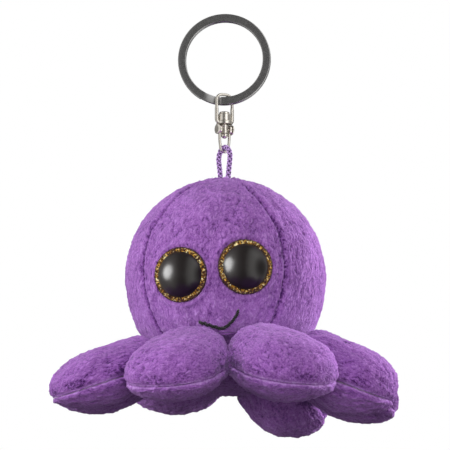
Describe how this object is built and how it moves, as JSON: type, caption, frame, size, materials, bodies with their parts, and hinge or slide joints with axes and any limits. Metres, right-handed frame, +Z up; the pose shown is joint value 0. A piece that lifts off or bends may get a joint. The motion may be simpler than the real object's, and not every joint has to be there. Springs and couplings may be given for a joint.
{
  "type": "plush octopus key ring",
  "caption": "Stuffed plush octopus with domed eyes and drooping arms, hung by a cord loop and swivel from a flat split key ring.",
  "frame": {"origin": "the point at the top of the split ring's inner edge that rests on a hook", "axes": "+Z up, the octopus's face and the ring's front face towards -Y, +X to the right of someone looking at the face"},
  "size_m": [0.1138, 0.1122, 0.1357],
  "materials": {
    "plush_head": "matte",
    "plush_arm_top": "matte",
    "plush_arm_under": "matte",
    "plush_belly": "matte",
    "filling": "matte",
    "cord": "satin",
    "thread": "satin",
    "eye_black": "gloss",
    "eye_glitter": "satin",
    "washer_plastic": "satin",
    "ring_steel": "satin",
    "swivel_steel": "polished"
  },
  "bodies": {
    "ring": {"split_ring": "ring_steel"},
    "upper_link": {"upper_bail": "swivel_steel"},
    "swivel": {"swivel_rivet": "swivel_steel", "swivel_barrel": "swivel_steel"},
    "lower_link": {"lower_bail": "swivel_steel"},
    "toy": {"cord_loop": "cord", "cord_knot": "cord", "head_panel_face": "plush_head", "head_panel_right": "plush_head", "head_panel_back": "plush_head", "head_panel_left": "plush_head", "belly_panel": "plush_belly", "head_stuffing": "filling", "eye_left_iris": "eye_glitter", "eye_left_dome": "eye_black", "eye_left_washer": "washer_plastic", "eye_right_iris": "eye_glitter", "eye_right_dome": "eye_black", "eye_right_washer": "washer_plastic", "mouth_stitch": "thread"},
    "arm_front_left": {"arm_front_left_top": "plush_arm_top", "arm_front_left_under": "plush_arm_under", "arm_front_left_stuffing": "filling"},
    "arm_front_right": {"arm_front_right_top": "plush_arm_top", "arm_front_right_under": "plush_arm_under", "arm_front_right_stuffing": "filling"},
    "arm_right_front": {"arm_right_front_top": "plush_arm_top", "arm_right_front_under": "plush_arm_under", "arm_right_front_stuffing": "filling"},
    "arm_right_rear": {"arm_right_rear_top": "plush_arm_top", "arm_right_rear_under": "plush_arm_under", "arm_right_rear_stuffing": "filling"},
    "arm_rear_right": {"arm_rear_right_top": "plush_arm_top", "arm_rear_right_under": "plush_arm_under", "arm_rear_right_stuffing": "filling"},
    "arm_rear_left": {"arm_rear_left_top": "plush_arm_top", "arm_rear_left_under": "plush_arm_under", "arm_rear_left_stuffing": "filling"},
    "arm_left_rear": {"arm_left_rear_top": "plush_arm_top", "arm_left_rear_under": "plush_arm_under", "arm_left_rear_stuffing": "filling"},
    "arm_left_front": {"arm_left_front_top": "plush_arm_top", "arm_left_front_under": "plush_arm_under", "arm_left_front_stuffing": "filling"}
  },
  "joints": [
    {"name": "ring_slide", "type": "hinge", "parent": "ring", "child": "upper_link", "pos_m": [0, 0, -0.0127], "axis": [0, 1, 0], "range_deg": [-120, 120]},
    {"name": "swivel_turn", "type": "hinge", "parent": "upper_link", "child": "swivel", "pos_m": [0, 0, -0.034], "axis": [0, 0, 1], "continuous": true},
    {"name": "lower_link_tilt", "type": "hinge", "parent": "swivel", "child": "lower_link", "pos_m": [0, 0, -0.0362], "axis": [0.809, 0.5878, 0], "range_deg": [-70, 70]},
    {"name": "toy_swing", "type": "hinge", "parent": "lower_link", "child": "toy", "pos_m": [0, 0, -0.0422], "axis": [-0.5878, 0.809, 0], "range_deg": [-60, 60]},
    {"name": "arm_front_left_lift", "type": "hinge", "parent": "toy", "child": "arm_front_left", "pos_m": [-0.00714, -0.02485, -0.1068], "axis": [-0.9613, 0.2756, 0], "range_deg": [-5, 33], "stiffness_Nm_per_rad": 0.006},
    {"name": "arm_front_right_lift", "type": "hinge", "parent": "toy", "child": "arm_front_right", "pos_m": [0.01359, -0.0224, -0.1068], "axis": [-0.8704, -0.4924, 0], "range_deg": [-5, 33], "stiffness_Nm_per_rad": 0.006},
    {"name": "arm_right_front_lift", "type": "hinge", "parent": "toy", "child": "arm_right_front", "pos_m": [0.02619, -0.00657, -0.1068], "axis": [-0.284, -0.9588, 0], "range_deg": [-5, 33], "stiffness_Nm_per_rad": 0.006},
    {"name": "arm_right_rear_lift", "type": "hinge", "parent": "toy", "child": "arm_right_rear", "pos_m": [0.02461, 0.01285, -0.1068], "axis": [0.4352, -0.9003, 0], "range_deg": [-5, 33], "stiffness_Nm_per_rad": 0.006},
    {"name": "arm_rear_right_lift", "type": "hinge", "parent": "toy", "child": "arm_rear_right", "pos_m": [0.00998, 0.02631, -0.1068], "axis": [0.9336, -0.3584, 0], "range_deg": [-5, 33], "stiffness_Nm_per_rad": 0.006},
    {"name": "arm_rear_left_lift", "type": "hinge", "parent": "toy", "child": "arm_rear_left", "pos_m": [-0.01154, 0.02537, -0.1068], "axis": [0.8988, 0.4384, 0], "range_deg": [-5, 33], "stiffness_Nm_per_rad": 0.006},
    {"name": "arm_left_rear_lift", "type": "hinge", "parent": "toy", "child": "arm_left_rear", "pos_m": [-0.02559, 0.00877, -0.1068], "axis": [0.284, 0.9588, 0], "range_deg": [-5, 33], "stiffness_Nm_per_rad": 0.006},
    {"name": "arm_left_front_lift", "type": "hinge", "parent": "toy", "child": "arm_left_front", "pos_m": [-0.02331, -0.01199, -0.1068], "axis": [-0.4848, 0.8746, 0], "range_deg": [-5, 33], "stiffness_Nm_per_rad": 0.006}
  ]
}
